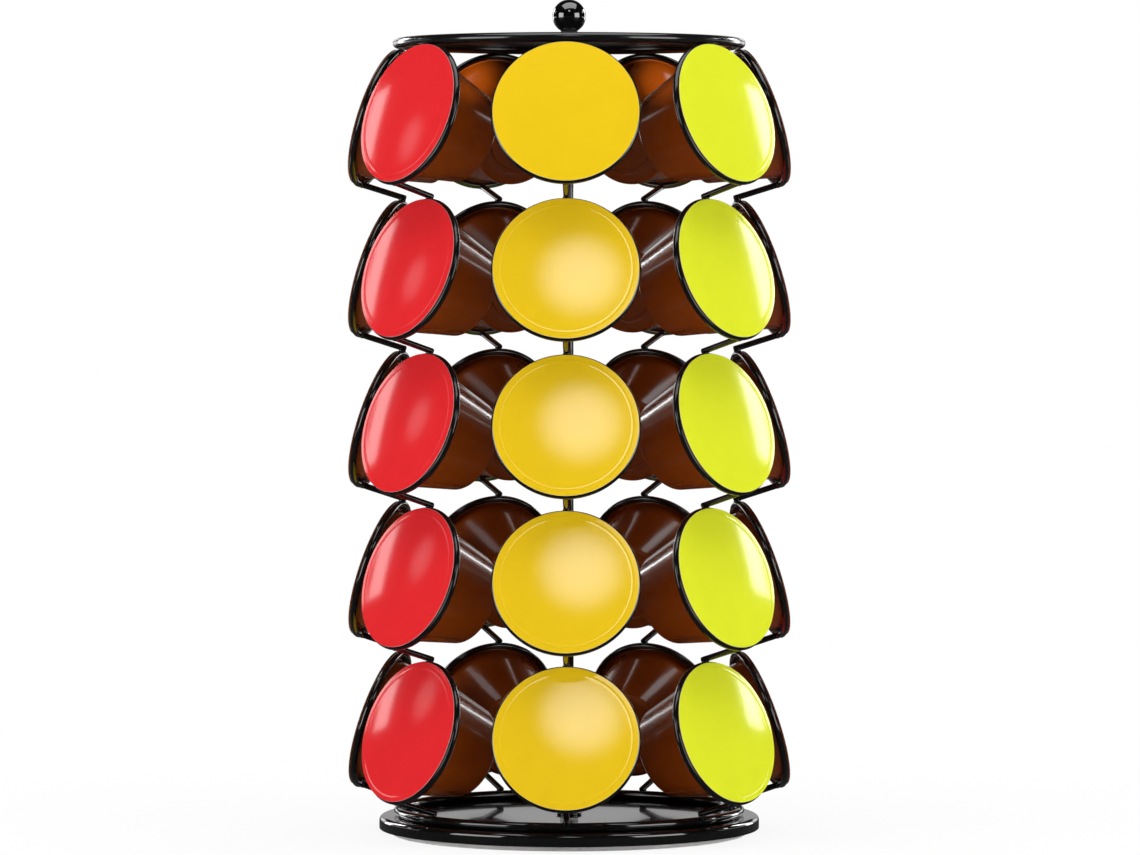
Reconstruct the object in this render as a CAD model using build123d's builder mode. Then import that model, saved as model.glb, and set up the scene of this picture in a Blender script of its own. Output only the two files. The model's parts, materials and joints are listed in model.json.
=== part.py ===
from build123d import *
import os
from math import cos, pi, radians, sin, tan

# The capsule dispenser stands on Z = 0 with its spindle on the Z axis.
# Seven welded wire columns hold five tilted capsules each, and column 1 faces -Y.
# Columns are numbered anticlockwise seen from above, and tiers from the top down.
# Lengths are millimetres and angles are degrees.

# Layout of the carousel. The capsule sets the size of the rings, and these gaps
# set the rings apart: tier_gap is the free height between two rings of a column,
# and corner_margin the free width from a ring to the next column's plane.
column_count = 7
tier_count = 5
tier_gap = 7.28
corner_margin = 8.15
holder_tilt = 17.9

# Capsule: a tapered cup with a flange, closed by a foil lid
lid_diameter = 54.0
lid_thickness = 0.25
lid_rim_width = 1.5
lid_bead_width = 1.6
lid_rim_fall = 0.1
lid_bead_rise = 0.14
lid_dome_rise = 1.0
lid_overhang = 0.25
seal_layer = 0.03
flange_width = 2.45
flange_thickness = 0.35
cup_taper = 7.0
cup_height = 30.0
cup_wall = 0.8
cup_foot_radius = 2.4
foot_groove_inset = 4.4
foot_groove_width = 1.8
foot_groove_depth = 0.5
foot_dimple_diameter = 3.6
foot_dimple_depth = 0.35

# Wire frame
ring_wire = 2.44
ring_play = 1.0
link_wire = 2.3
link_overhang = 1.2
link_setback = 0.55
link_end_radius = 0.35
weld_sink = 0.17
weld_gap = 0.04
base_ring_wire = 3.43
base_ring_inset = 7.3
seat_gap = 0.15

# Top plate: a sheet disc with a wired edge, which lies a little inside the
# tops of the highest rings
rim_wire = 3.85
rim_inset = 1.2
top_sheet_thickness = 1.2
top_sheet_fillet = 0.5

# Spindle and its hardware
post_diameter = 3.4
fit_gap = 0.05
bolt_hole_play = 0.15
foot_nut_flange_diameter = 10.3
foot_nut_flange_height = 0.9
foot_nut_across_flats = 7.0
foot_nut_height = 3.2
nut_chamfer = 0.4
lock_nut_across_flats = 6.0
lock_nut_height = 1.5
lock_nut_gap = 0.1
top_washer_diameter = 9.0
top_washer_thickness = 0.6
knob_diameter = 12.8
knob_neck_diameter = 6.4
knob_neck_height = 1.5
knob_bore_depth = 6.5

# Turntable base
pad_diameter = 135.0
pad_thickness = 0.8
foot_plate_diameter = 137.2
foot_plate_thickness = 1.0
foot_plate_edge_radius = 0.3
disc_diameter = 145.0
disc_gap = 0.25
disc_skin = 1.8
disc_skirt = 2.2
disc_edge_radius = 1.75
disc_lower_edge_radius = 0.4
disc_rib_count = 14
disc_rib_width = 1.2
disc_rib_clearance = 0.6

# Ball bearing between the foot plate and the disc
ball_count = 14
ball_diameter = 2.4
ball_track_radius = 41.0
ball_play = 0.08
race_width = 10.0
race_thickness = 1.0
race_lip_width = 1.2
race_lip_height = 0.7
race_lip_gap = 0.1
cage_width = 5.2
cage_thickness = 0.6

# Pivot in the middle of the foot plate. Its pieces stack up from the pad to the
# lock nut under the disc, and so they set the height of the disc.
pivot_boss_diameter = 17.0
pivot_pocket_diameter = 12.0
pivot_roof_thickness = 0.8
bush_sleeve_diameter = 5.8
bush_flange_diameter = 9.0
bush_flange_thickness = 0.3
retaining_washer_diameter = 9.6
retaining_washer_thickness = 0.55
clip_diameter = 6.6
clip_thickness = 0.45
clip_groove_depth = 0.4
clip_mouth_width = 2.4
clip_step = 0.05
post_end_length = 0.3
post_end_gap = 0.3

os.makedirs("parts", exist_ok=True)


def write(piece, name):
    """Label a finished piece and write it as its own file."""
    piece.label = name
    export_step(piece, f"parts/{name}.step")
    print(name, len(piece.solids()), "solids", round(piece.volume, 1), "mm3")


def disc(bottom, height, outer_radius, inner_radius=0, mode=Mode.ADD):
    """Add or cut a flat disc or washer that stands on the level called bottom."""
    with BuildSketch(Plane.XY.offset(bottom)) as outline:
        Circle(outer_radius)
        if inner_radius:
            Circle(inner_radius, mode=Mode.SUBTRACT)
    extrude(outline.sketch, amount=height, mode=mode)


def hexagon(bottom, height, across_flats):
    """Add a plain hexagon that stands on the level called bottom."""
    with BuildSketch(Plane.XY.offset(bottom)) as outline:
        RegularPolygon(across_flats / 2, side_count=6, major_radius=False)
    extrude(outline.sketch, amount=height)


# Levels of the base, from the table up
foot_plate_bottom = pad_thickness
foot_plate_top = foot_plate_bottom + foot_plate_thickness
disc_bottom = foot_plate_top + disc_gap
post_bottom = foot_plate_bottom + post_end_gap
clip_bottom = post_bottom + post_end_length
washer_bottom = clip_bottom + clip_thickness + clip_step
pocket_roof = washer_bottom + retaining_washer_thickness + fit_gap
boss_top = pocket_roof + pivot_roof_thickness
bush_top = boss_top + bush_flange_thickness
lock_nut_bottom = bush_top + lock_nut_gap
disc_ceiling = lock_nut_bottom + lock_nut_height
disc_top = disc_ceiling + disc_skin
lower_race_top = foot_plate_top + race_thickness
upper_race_bottom = disc_ceiling - race_thickness
ball_level = (lower_race_top + upper_race_bottom) / 2

post_radius = post_diameter / 2
disc_radius = disc_diameter / 2
base_ring_radius = disc_radius - base_ring_inset
groove_radius = ball_diameter / 2 + ball_play
race_inner_radius = ball_track_radius - race_width / 2
race_outer_radius = ball_track_radius + race_width / 2
nut_bore_radius = post_radius + fit_gap

# Two low lips, on the foot plate and under the disc, hold each race on its circle.
# Each pair is an outer and an inner radius.
inner_lip = (race_inner_radius - race_lip_gap, race_inner_radius - race_lip_gap - race_lip_width)
outer_lip = (race_outer_radius + race_lip_gap + race_lip_width, race_outer_radius + race_lip_gap)


# Stationary base
with BuildPart() as non_slip_pad:
    disc(0, pad_thickness, pad_diameter / 2)

with BuildPart() as foot_plate:
    disc(foot_plate_bottom, foot_plate_thickness, foot_plate_diameter / 2)
    top_edge = foot_plate.edges().filter_by(GeomType.CIRCLE).group_by(Axis.Z)[-1]
    fillet(top_edge, foot_plate_edge_radius)
    disc(foot_plate_bottom, boss_top - foot_plate_bottom, pivot_boss_diameter / 2)
    disc(foot_plate_top, race_lip_height, *inner_lip)
    disc(foot_plate_top, race_lip_height, *outer_lip)
    # The pocket under the boss hides the washer and the clip
    pocket_height = pocket_roof - foot_plate_bottom
    disc(foot_plate_bottom, pocket_height, pivot_pocket_diameter / 2, mode=Mode.SUBTRACT)
    disc(pocket_roof, pivot_roof_thickness, bush_sleeve_diameter / 2, mode=Mode.SUBTRACT)

with BuildPart() as pivot_bush:
    disc(pocket_roof, pivot_roof_thickness, bush_sleeve_diameter / 2)
    disc(boss_top, bush_flange_thickness, bush_flange_diameter / 2)
    disc(pocket_roof, bush_top - pocket_roof, post_radius + fit_gap, mode=Mode.SUBTRACT)

with BuildPart() as lower_race:
    disc(foot_plate_top, race_thickness, race_outer_radius, race_inner_radius)
    with Locations((0, 0, ball_level)):
        Torus(ball_track_radius, groove_radius, mode=Mode.SUBTRACT)


# Ball set that turns at half the speed of the carousel
with BuildPart() as ball_cage:
    cage_inner_radius = ball_track_radius - cage_width / 2
    cage_bottom = ball_level - cage_thickness / 2
    disc(cage_bottom, cage_thickness, cage_inner_radius + cage_width, cage_inner_radius)
    with BuildSketch(Plane.XY.offset(cage_bottom)):
        with PolarLocations(ball_track_radius, ball_count):
            Circle(groove_radius)
    extrude(amount=cage_thickness, mode=Mode.SUBTRACT)

with BuildPart() as bearing_balls:
    with Locations((0, 0, ball_level)):
        with PolarLocations(ball_track_radius, ball_count):
            Sphere(ball_diameter / 2)


# Turning base
with BuildPart() as upper_race:
    disc(upper_race_bottom, race_thickness, race_outer_radius, race_inner_radius)
    with Locations((0, 0, ball_level)):
        Torus(ball_track_radius, groove_radius, mode=Mode.SUBTRACT)

with BuildPart() as base_disc:
    disc(disc_bottom, disc_top - disc_bottom, disc_radius)
    rims = base_disc.edges().filter_by(GeomType.CIRCLE).group_by(Axis.Z)
    fillet(rims[-1], disc_edge_radius)
    recess_radius = disc_radius - disc_skirt
    disc(disc_bottom, disc_ceiling - disc_bottom, recess_radius, mode=Mode.SUBTRACT)
    foot_edges = base_disc.edges().filter_by(GeomType.CIRCLE).group_by(Axis.Z)[0]
    fillet(foot_edges.sort_by(SortBy.RADIUS)[-1], disc_lower_edge_radius)
    disc(disc_ceiling - race_lip_height, race_lip_height, *inner_lip)
    disc(disc_ceiling - race_lip_height, race_lip_height, *outer_lip)
    # Radial ribs stiffen the skin. The outer ones run from the outer lip into the
    # skirt, and the inner ones from above the boss to the inner lip.
    rib_bottom = boss_top + disc_rib_clearance
    outer_rib_start = outer_lip[0] - race_lip_width / 2
    outer_rib_length = recess_radius + disc_skirt / 2 - outer_rib_start
    inner_rib_start = pivot_boss_diameter / 2
    inner_rib_length = inner_lip[1] + race_lip_width / 2 - inner_rib_start
    with BuildSketch(Plane.XY.offset(rib_bottom)):
        with PolarLocations(outer_rib_start + outer_rib_length / 2, disc_rib_count):
            Rectangle(outer_rib_length, disc_rib_width)
        with PolarLocations(inner_rib_start + inner_rib_length / 2, disc_rib_count):
            Rectangle(inner_rib_length, disc_rib_width)
    extrude(amount=disc_ceiling - rib_bottom)
    disc(disc_ceiling, disc_skin, post_radius + bolt_hole_play, mode=Mode.SUBTRACT)

with BuildPart() as retaining_washer:
    washer_radius = retaining_washer_diameter / 2
    disc(washer_bottom, retaining_washer_thickness, washer_radius, post_radius + fit_gap)

with BuildPart() as retaining_clip:
    clip_bore = post_radius - clip_groove_depth + fit_gap
    disc(clip_bottom, clip_thickness, clip_diameter / 2, clip_bore)
    with BuildSketch(Plane.XY.offset(clip_bottom)):
        with Locations((clip_diameter / 2, 0)):
            Rectangle(clip_diameter, clip_mouth_width)
    extrude(amount=clip_thickness, mode=Mode.SUBTRACT)

with BuildPart() as lock_nut:
    hexagon(lock_nut_bottom, lock_nut_height, lock_nut_across_flats)
    chamfer(lock_nut.faces().sort_by(Axis.Z)[-1].edges(), nut_chamfer)
    disc(lock_nut_bottom, lock_nut_height, nut_bore_radius, mode=Mode.SUBTRACT)

with BuildPart() as foot_nut:
    hexagon(disc_top, foot_nut_height, foot_nut_across_flats)
    chamfer(foot_nut.faces().sort_by(Axis.Z)[-1].edges(), nut_chamfer)
    disc(disc_top, foot_nut_flange_height, foot_nut_flange_diameter / 2)
    flange_rims = foot_nut.edges().filter_by(GeomType.CIRCLE)
    fillet(flange_rims.sort_by(Axis.Z)[-1], nut_chamfer)
    disc(disc_top, foot_nut_height, nut_bore_radius, mode=Mode.SUBTRACT)


# Capsule radii from the lid inwards, and the ring that the cup drops into
lid_radius = lid_diameter / 2
flange_radius = lid_radius - lid_overhang
mouth_radius = flange_radius - flange_width
foot_radius = mouth_radius - cup_taper
ring_radius = mouth_radius + ring_play + ring_wire / 2

# Directions in the plane of column 1: outward along a capsule, and up across it
tilt = radians(holder_tilt)
outward = Vector(0, -cos(tilt), sin(tilt))
across = Vector(0, sin(tilt), cos(tilt))

# The planes of neighbouring columns meet at corners, which a ring keeps clear of
ring_reach = ring_radius + ring_wire / 2
holder_circle_radius = (ring_reach + corner_margin) / tan(pi / column_count)
tier_pitch = 2 * ring_radius * across.Z + tier_gap

# A link lies on top of one ring and meets the bottom of the ring above.
# These points are measured from the middle of the lower ring.
one_tier_up = Vector(0, 0, tier_pitch)
upper_ring_bottom = one_tier_up - across * ring_radius
link_rest = across * (ring_radius + (ring_wire + link_wire) / 2 - weld_sink)
link_direction = (upper_ring_bottom - link_rest).normalized()
link_low = link_rest - link_direction * link_overhang
link_high = upper_ring_bottom - link_direction * link_setback

# The lowest link lies on the base ring, which stands on the disc, and that
# sets the height of the lowest tier
base_ring_level = disc_top + base_ring_wire / 2
link_lift = Vector(0, link_direction.Z, -link_direction.Y)
base_ring_middle = Vector(0, -base_ring_radius, base_ring_level)
lowest_link_rest = base_ring_middle + link_lift * ((base_ring_wire + link_wire) / 2 - weld_sink)
high_end_from_ring = link_high - one_tier_up
lowest_run = (lowest_link_rest.Y + holder_circle_radius - high_end_from_ring.Y) / -link_direction.Y
lowest_tier_level = lowest_link_rest.Z + lowest_run * link_direction.Z - high_end_from_ring.Z


def tier_level(tier):
    """Height of the ring middles of a tier, where tier 1 is the top one."""
    return lowest_tier_level + (tier_count - tier) * tier_pitch


def holder_plane(tier):
    """Plane of a ring of column 1: X runs down across it and Z out along the capsule."""
    middle = Vector(0, -holder_circle_radius, tier_level(tier))
    return Plane(origin=middle, x_dir=-across, z_dir=outward)


def link_between(low, high):
    """Make one straight link wire with a rounded lower end."""
    run = high - low
    with BuildPart() as wire:
        with BuildSketch(Plane(origin=low, x_dir=(1, 0, 0), z_dir=run)):
            Circle(link_wire / 2)
        extrude(amount=run.length)
        ends = wire.edges().filter_by(GeomType.CIRCLE).sort_by(Axis.Z)
        fillet(ends[0], link_end_radius)
    return wire.part


lowest_ring_middle = holder_plane(tier_count).origin
links = [
    link_between(
        lowest_link_rest - link_direction * link_overhang,
        lowest_ring_middle + high_end_from_ring,
    )
]
for tier in range(2, tier_count + 1):
    ring_middle = holder_plane(tier).origin
    links.append(link_between(ring_middle + link_low, ring_middle + link_high))

# Top plate levels: the wired edge sits on the tops of the highest rings
top_ring_top = holder_plane(1).origin + across * ring_radius
rim_circle_radius = -top_ring_top.Y - rim_inset
rim_reach = (rim_wire + ring_wire) / 2 - weld_sink
rim_level = top_ring_top.Z + (rim_reach**2 - rim_inset**2) ** 0.5
top_plate_top = rim_level + rim_wire / 2

with BuildPart() as base_ring:
    with Locations((0, 0, base_ring_level)):
        Torus(base_ring_radius, base_ring_wire / 2)

with BuildPart() as top_plate:
    sheet_bottom = top_plate_top - top_sheet_thickness
    disc(sheet_bottom, top_sheet_thickness, rim_circle_radius)
    with Locations((0, 0, rim_level)):
        Torus(rim_circle_radius, rim_wire / 2)
    disc(sheet_bottom, top_sheet_thickness, post_radius + bolt_hole_play, mode=Mode.SUBTRACT)
    # A small fillet where the underside of the sheet meets the wired edge
    low, high = sheet_bottom - weld_gap, sheet_bottom + weld_gap
    underside = top_plate.edges().filter_by(GeomType.CIRCLE).filter_by_position(Axis.Z, low, high)
    fillet(underside.sort_by(SortBy.RADIUS)[-1], top_sheet_fillet)

# Column 1, which the other columns repeat: five rings, five links, welded
with BuildPart() as column_pattern:
    for tier in range(1, tier_count + 1):
        with Locations(holder_plane(tier)):
            Torus(ring_radius, ring_wire / 2)
    add(links)
    # Saddles where the column is welded to the base ring and the top plate
    with Locations((0, 0, base_ring_level)):
        Torus(base_ring_radius, base_ring_wire / 2 + weld_gap, mode=Mode.SUBTRACT)
    with Locations((0, 0, rim_level)):
        Torus(rim_circle_radius, rim_wire / 2 + weld_gap, mode=Mode.SUBTRACT)

# Knob, its washer and the spindle that ties the top plate to the disc
washer_top = top_plate_top + top_washer_thickness
knob_middle = washer_top + knob_neck_height + knob_diameter / 2

with BuildPart() as top_washer:
    disc(top_plate_top, top_washer_thickness, top_washer_diameter / 2, nut_bore_radius)

with BuildPart() as knob:
    with Locations((0, 0, knob_middle)):
        Sphere(knob_diameter / 2)
    disc(washer_top, knob_middle - washer_top, knob_neck_diameter / 2)
    disc(washer_top, knob_bore_depth, nut_bore_radius, mode=Mode.SUBTRACT)

with BuildPart() as centre_post:
    post_top = washer_top + knob_bore_depth - fit_gap
    disc(post_bottom, post_top - post_bottom, post_radius)
    # Groove for the clip, a little taller than the clip
    groove_bottom = clip_bottom - fit_gap
    groove_height = clip_thickness + 2 * fit_gap
    groove_floor = post_radius - clip_groove_depth
    disc(groove_bottom, groove_height, post_diameter, groove_floor, mode=Mode.SUBTRACT)

# Capsule in its own frame: the ring's plane is XY and the lid faces +Z
flange_bottom = ring_wire / 2 + seat_gap
flange_top = flange_bottom + flange_thickness
lid_bottom = flange_top + seal_layer
lid_top = lid_bottom + lid_thickness
cup_foot_level = flange_top - cup_height

with BuildPart() as cup:
    with BuildSketch(Plane.XZ):
        with BuildLine():
            Polyline(
                (0, cup_foot_level),
                (foot_radius, cup_foot_level),
                (mouth_radius, flange_bottom),
                (flange_radius, flange_bottom),
                (flange_radius, flange_top),
                (mouth_radius - cup_wall, flange_top),
                (foot_radius - cup_wall, cup_foot_level + cup_wall),
                (0, cup_foot_level + cup_wall),
                close=True,
            )
        make_face()
    revolve(axis=Axis.Z)
    foot_edge = cup.edges().filter_by(GeomType.CIRCLE).group_by(Axis.Z)[0]
    fillet(foot_edge, cup_foot_radius)
    # A shallow ring groove in the foot, and the dimple of the moulding gate
    groove_outer = foot_radius - foot_groove_inset
    groove_inner = groove_outer - foot_groove_width
    disc(cup_foot_level, foot_groove_depth, groove_outer, groove_inner, mode=Mode.SUBTRACT)
    disc(cup_foot_level, foot_dimple_depth, foot_dimple_diameter / 2, mode=Mode.SUBTRACT)

with BuildPart() as lid:
    bead_outer = lid_radius - lid_rim_width
    bead_inner = bead_outer - lid_bead_width
    bead_top = ((bead_outer + bead_inner) / 2, lid_top + lid_bead_rise)
    rim_top = (lid_radius, lid_top - lid_rim_fall)
    dome_top = (0, lid_top + lid_dome_rise)
    dome_radius = (bead_inner**2 + lid_dome_rise**2) / (2 * lid_dome_rise)
    with BuildSketch(Plane.XZ):
        with BuildLine():
            Line((0, lid_bottom), (lid_radius, lid_bottom))
            Line((lid_radius, lid_bottom), rim_top)
            Line(rim_top, (bead_outer, lid_top))
            ThreePointArc((bead_outer, lid_top), bead_top, (bead_inner, lid_top))
            RadiusArc((bead_inner, lid_top), dome_top, -dome_radius)
            Line(dome_top, (0, lid_bottom))
        make_face()
    revolve(axis=Axis.Z)

# Write the pieces
write(non_slip_pad.part, "non_slip_pad")
write(foot_plate.part, "foot_plate")
write(pivot_bush.part, "pivot_bush")
write(lower_race.part, "lower_race")
write(ball_cage.part, "ball_cage")
write(bearing_balls.part, "bearing_balls")
write(upper_race.part, "upper_race")
write(base_disc.part, "base_disc")
write(base_ring.part, "base_ring")
write(retaining_washer.part, "retaining_washer")
write(retaining_clip.part, "retaining_clip")
write(lock_nut.part, "lock_nut")
write(foot_nut.part, "foot_nut")
write(centre_post.part, "centre_post")
write(top_plate.part, "top_plate")
write(top_washer.part, "top_washer")
write(knob.part, "knob")

full_turn = 360
for number in range(1, column_count + 1):
    turn = (number - 1) * full_turn / column_count
    with BuildPart() as column:
        add(column_pattern.part, rotation=(0, 0, turn))
    write(column.part, f"column_{number}")
    for tier in range(1, tier_count + 1):
        place = Location((0, 0, 0), (0, 0, turn)) * holder_plane(tier).location
        with BuildPart() as capsule:
            with Locations(place):
                add(cup.part)
                add(lid.part)
        write(capsule.part, f"capsule_column_{number}_tier_{tier}")
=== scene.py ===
# %% [markdown]
# A wire carousel for coffee capsules, dressed around its CAD frame.
# The frame is the imported model: every node sits where the real piece sits, in metres, with the
# spindle on the Z axis. We load it first, because each piece that we make takes its place from it.

# %% Load the frame
import json
from math import acos, asin, atan, cos, pi, radians, sin, tan, tau

import bmesh
import bpy
from mathutils import Matrix, Vector


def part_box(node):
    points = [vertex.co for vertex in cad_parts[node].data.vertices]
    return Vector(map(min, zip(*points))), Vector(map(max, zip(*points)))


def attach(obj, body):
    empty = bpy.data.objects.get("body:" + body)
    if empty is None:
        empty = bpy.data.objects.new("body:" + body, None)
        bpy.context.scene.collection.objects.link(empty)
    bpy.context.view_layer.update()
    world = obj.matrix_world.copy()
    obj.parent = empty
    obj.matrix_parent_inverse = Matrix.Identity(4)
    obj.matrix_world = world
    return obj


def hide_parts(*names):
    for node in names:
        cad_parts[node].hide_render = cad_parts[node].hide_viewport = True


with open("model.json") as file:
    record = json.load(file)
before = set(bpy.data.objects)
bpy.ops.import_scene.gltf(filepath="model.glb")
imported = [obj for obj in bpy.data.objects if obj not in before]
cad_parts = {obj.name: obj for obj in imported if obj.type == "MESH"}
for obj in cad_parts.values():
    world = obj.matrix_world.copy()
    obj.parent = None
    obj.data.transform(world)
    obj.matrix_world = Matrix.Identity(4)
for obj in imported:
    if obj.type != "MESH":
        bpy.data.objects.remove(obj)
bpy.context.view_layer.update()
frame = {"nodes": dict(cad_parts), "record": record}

# %% [markdown]
# Almost every part of this object is round: cups, lids, rings, disc, knob and spindle.
# Such parts are turned: an outline of (radius, height) points spins about an axis. We could use
# Blender's Screw modifier on a curve, but with our own few lines one mesh can hold many turned
# forms, each placed by a matrix, and a ring of wire is the same thing with a circle as its outline.
# Real edges are never sharp, so a second helper replaces a corner by a small arc.

# %% Outlines
mm = 0.001
corner_steps = 6


def arc(centre, radius, start, end, steps):
    """Points along an arc of an outline, with angles in radians from the outward direction."""
    angles = [start + (end - start) * step / steps for step in range(steps + 1)]
    return [(centre[0] + radius * cos(a), centre[1] + radius * sin(a)) for a in angles]


def soften(corners):
    """Turn corners into an outline. A corner is (radius, height) or (radius, height, rounding)."""
    outline = []
    for before, corner, after in zip(corners[-1:] + corners[:-1], corners, corners[1:] + corners[:1]):
        here = Vector(corner[:2])
        if len(corner) == 2:
            outline.append(tuple(here))
            continue
        rounding = corner[2]
        back = (Vector(before[:2]) - here).normalized()
        ahead = (Vector(after[:2]) - here).normalized()
        half = acos(back.dot(ahead)) / 2
        centre = here + (back + ahead).normalized() * rounding / sin(half)
        first = here + back * rounding / tan(half) - centre
        last = here + ahead * rounding / tan(half) - centre
        swing = pi - 2 * half
        for step in range(corner_steps + 1):
            share = step / corner_steps
            spoke = (first * sin((1 - share) * swing) + last * sin(share * swing)) / sin(swing)
            outline.append(tuple(centre + spoke))
    return outline


def add_turned(mesh, outline, place=Matrix(), segments=96, smooth=True):
    """Spin an outline about its own Z axis, and add the faces to the mesh at that place."""
    on_axis = 0.001 * mm
    loops = []
    for radius, height in outline:
        count = 1 if radius < on_axis else segments
        spots = [Vector((radius * cos(tau * i / segments), radius * sin(tau * i / segments), height))
                 for i in range(count)]
        loops.append([mesh.verts.new(place @ spot) for spot in spots])
    for lower, upper in zip(loops, loops[1:] + loops[:1]):
        for i in range(segments):
            j = (i + 1) % segments
            around = (lower[i % len(lower)], lower[j % len(lower)],
                      upper[j % len(upper)], upper[i % len(upper)])
            corners = list(dict.fromkeys(around))
            if len(corners) > 2:
                mesh.faces.new(corners).smooth = smooth


# %% [markdown]
# A piece is a mesh object with one finish. It rides on a CAD body, so it moves with the joint, and
# it stands for the CAD node that it hides. Weighted normals keep the large flat faces flat beside
# their small rounded edges. A Bevel modifier could round the edges too, but it uses one width unless
# each edge gets a weight, and here the roundings differ.

# %% Make a piece


def finish_mesh(name, mesh, finish):
    """Close the mesh off as named data with its finish."""
    bmesh.ops.recalc_face_normals(mesh, faces=mesh.faces)
    data = bpy.data.meshes.new(name)
    mesh.to_mesh(data)
    mesh.free()
    data.materials.append(finish)
    return data


def set_piece(name, data, body, node, place=Matrix()):
    """Put a piece in the scene on its body, in place of its CAD node."""
    piece = bpy.data.objects.new(name, data)
    bpy.context.scene.collection.objects.link(piece)
    piece.matrix_world = place
    piece.modifiers.new("even_normals", "WEIGHTED_NORMAL").keep_sharp = True
    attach(piece, body)
    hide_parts(node)
    return piece


def turned_piece(name, outline, finish, body, node, segments):
    """A piece of one turned form about the spindle's axis."""
    mesh = bmesh.new()
    add_turned(mesh, outline, segments=segments)
    return set_piece(name, finish_mesh(name, mesh, finish), body, node)


# %% [markdown]
# A finish is a small shader tree. Written node by node, such a tree hides its idea, so we let
# Python's operators build it: a Shade wraps one output socket, and noise * 0.2 + 0.4 adds the Math
# nodes for that sum. Any other node comes from Paint.node, which sets the node's settings first and
# then fills or links its inputs.

# %% Shader sums


class Shade:
    """An output socket that can take part in sums."""

    def __init__(self, paint, socket):
        self.paint = paint
        self.socket = socket

    def maths(self, operation, *values):
        """The output of a Math node with that operation."""
        return self.paint.node("ShaderNodeMath", {"operation": operation}, dict(enumerate(values)))

    def __add__(self, other):
        return self.maths("ADD", self, other)

    def __sub__(self, other):
        return self.maths("SUBTRACT", self, other)

    def __mul__(self, other):
        return self.maths("MULTIPLY", self, other)

    def __rsub__(self, other):
        return self.maths("SUBTRACT", other, self)

    __radd__ = __add__
    __rmul__ = __mul__

    def over(self, limit):
        """One where this is over the limit, and zero elsewhere."""
        return self.maths("GREATER_THAN", self, limit)

    def fade(self, low, high):
        """Zero below low, one above high, and smooth between them."""
        settings = {"interpolation_type": "SMOOTHSTEP"}
        return self.paint.node("ShaderNodeMapRange", settings, {0: self, 1: low, 2: high})


class Paint:
    """A shader tree under construction, of a new material or of the world."""

    def __init__(self, owner):
        self.owner = owner
        owner.use_nodes = True
        self.tree = owner.node_tree
        self.tree.nodes.clear()

    def node(self, kind, settings=None, inputs=None, output=0):
        """Add a node, with its settings first and then its inputs, and return one output."""
        made = self.tree.nodes.new(kind)
        for key, value in (settings or {}).items():
            setattr(made, key, value)
        for key, value in (inputs or {}).items():
            if isinstance(value, Shade):
                self.tree.links.new(value.socket, made.inputs[key])
            else:
                made.inputs[key].default_value = value
        return Shade(self, made.outputs[output]) if made.outputs else None

    def blend(self, share, first, second):
        """A colour between two colours."""
        return self.node("ShaderNodeMix", {"data_type": "RGBA"}, {0: share, 6: first, 7: second}, 2)

    def place(self):
        """Coordinates in the piece's own frame, in metres."""
        return self.node("ShaderNodeTexCoord", output="Object")

    def squash(self, vector, shares):
        """A vector with each of its parts multiplied by a share."""
        return self.node("ShaderNodeVectorMath", {"operation": "MULTIPLY"}, {0: vector, 1: shares})

    def length(self, vector):
        """How long a vector is."""
        return self.node("ShaderNodeVectorMath", {"operation": "LENGTH"}, {0: vector}, "Value")

    def reach(self):
        """Distance from the piece's own Z axis, in metres."""
        return self.length(self.squash(self.place(), (1.0, 1.0, 0.0)))

    def noise(self, grain, detail, place=None):
        """Noise whose blotches are about as large as the grain."""
        inputs = {"Vector": place or self.place(), "Scale": 1 / grain, "Detail": detail}
        return self.node("ShaderNodeTexNoise", inputs=inputs)

    def bump(self, height, depth):
        """A normal that follows a height from 0 to 1 over the depth, in metres."""
        inputs = {"Strength": 1.0, "Distance": depth, "Height": height}
        return self.node("ShaderNodeBump", inputs=inputs)

    def surface(self, **inputs):
        """Finish the tree with a Principled BSDF. An input's name has _ for a space."""
        named = {key.replace("_", " "): value for key, value in inputs.items()}
        shader = self.node("ShaderNodeBsdfPrincipled", inputs=named)
        self.node("ShaderNodeOutputMaterial", inputs={"Surface": shader})
        return self.owner


def new_paint(name):
    """Paint for a new material of that name."""
    return Paint(bpy.data.materials.new(name))


# %% [markdown]
# The frame, the plate, the knob and the turntable are all gloss black, but not the same black.
# The wire is dipped and stoved, so its lacquer has a faint orange peel and is thinner in places.
# The turntable is moulded and polished, with hairlines from wiping. Each is a nearly black base under
# a clear coat: the coat gives the hard reflections, and the uneven roughness keeps them alive.
# A single Glossy BSDF would look like chrome seen in the dark. The flat top of the plate is satin,
# because at a low angle a glossy one mirrors the studio as white as the background behind it.

# %% Black finishes
plate_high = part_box("top_plate")[1]
satin_level = plate_high.z - 0.6 * mm
satin_reach = plate_high.x - 1.9 * mm


def satin_top(paint):
    """One on the flat top of the plate, and zero below it and on its curled edge."""
    height = paint.node("ShaderNodeSeparateXYZ", inputs={0: paint.place()}, output="Z")
    return height.over(satin_level) * (1 - paint.reach().over(satin_reach))


def black_lacquer(name, tone, roughness, coat_roughness, peel_grain, peel_depth, satin=None):
    """Stoved black lacquer with orange peel and cloudy gloss, dulled where satin gives one."""
    paint = new_paint(name)
    dull = satin(paint) if satin else 0
    cloud = paint.noise(9 * mm, detail=3.0)
    cloud_spread = 0.08
    peel = paint.noise(peel_grain, detail=1.0)
    thick = (tone, tone, tone * 1.1, 1.0)
    thin = (tone * 2.2, tone * 2.0, tone * 1.9, 1.0)
    return paint.surface(
        Base_Color=paint.blend(cloud, thick, thin),
        Roughness=cloud * cloud_spread + (roughness - cloud_spread / 2) + dull * 0.3,
        Specular_IOR_Level=0.15,
        Coat_Weight=1 - dull * 0.95,
        Coat_Roughness=coat_roughness,
        Normal=paint.bump(peel, peel_depth),
    )


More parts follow.
